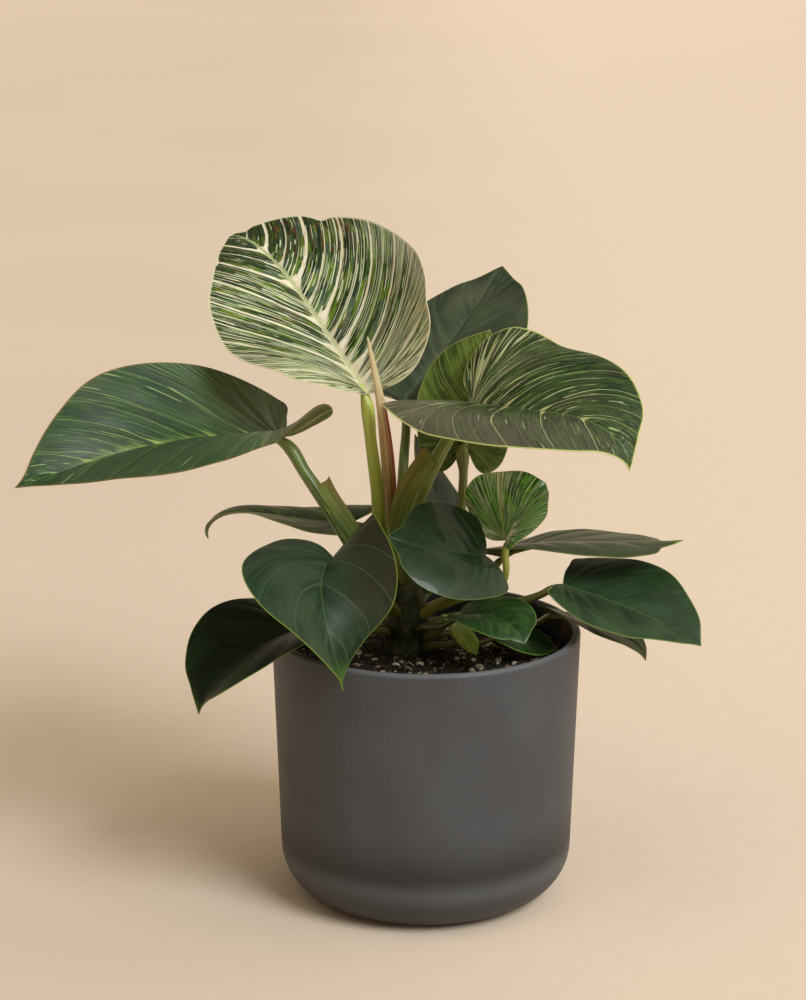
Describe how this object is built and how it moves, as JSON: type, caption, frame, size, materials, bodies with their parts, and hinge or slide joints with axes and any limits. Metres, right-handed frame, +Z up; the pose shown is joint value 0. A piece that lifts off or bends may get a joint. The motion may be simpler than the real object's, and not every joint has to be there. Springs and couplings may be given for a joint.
{
  "type": "potted philodendron birkin",
  "caption": "Leafy aroid house plant with heart-shaped leaves, some striped with cream, on green stalks above dark soil in a round tapered charcoal pot.",
  "frame": {"origin": "centre of the pot's flat base, on the surface it stands on", "axes": "+Z up along the pot's axis; -Y towards the side the picture was taken from; +X to the right in the picture"},
  "size_m": [0.2985, 0.2, 0.3007],
  "materials": {
    "pot": "satin",
    "soil": "matte",
    "root_stock": "matte",
    "leaf_cream": "satin",
    "leaf_dark_striped": "satin",
    "leaf_dark": "satin",
    "leaf_light": "satin",
    "stalk": "satin",
    "new_leaf": "satin",
    "sheath": "matte",
    "dry_stalk": "matte"
  },
  "bodies": {
    "root": {"pot": "pot", "soil": "soil", "root_stock": "root_stock", "leaf_top": "leaf_cream", "leaf_high_left": "leaf_dark_striped", "leaf_high_right": "leaf_dark_striped", "leaf_high_back": "leaf_dark", "leaf_erect": "leaf_light", "leaf_low_back": "leaf_dark", "leaf_small_striped": "leaf_cream", "leaf_centre": "leaf_dark", "leaf_front": "leaf_dark", "leaf_low_left": "leaf_dark", "leaf_thin_left": "leaf_dark", "leaf_thin_right": "leaf_dark", "leaf_low_right": "leaf_dark", "leaf_tucked_right": "leaf_dark", "leaf_small_centre": "leaf_dark", "leaf_small_light": "leaf_light", "leaf_soil_right": "leaf_dark", "stalk_top": "stalk", "stalk_high_left": "stalk", "stalk_high_right": "stalk", "stalk_high_back": "stalk", "stalk_erect": "stalk", "stalk_low_back": "stalk", "stalk_small_striped": "stalk", "stalk_centre": "stalk", "stalk_front": "stalk", "stalk_low_left": "stalk", "stalk_thin_left": "stalk", "stalk_thin_right": "stalk", "stalk_low_right": "stalk", "stalk_tucked_right": "stalk", "stalk_small_centre": "stalk", "stalk_small_light": "stalk", "stalk_soil_right": "stalk", "new_leaf": "new_leaf", "sheath_high_left": "sheath", "sheath_high_right": "sheath", "dry_stalk": "dry_stalk"}
  },
  "joints": []
}
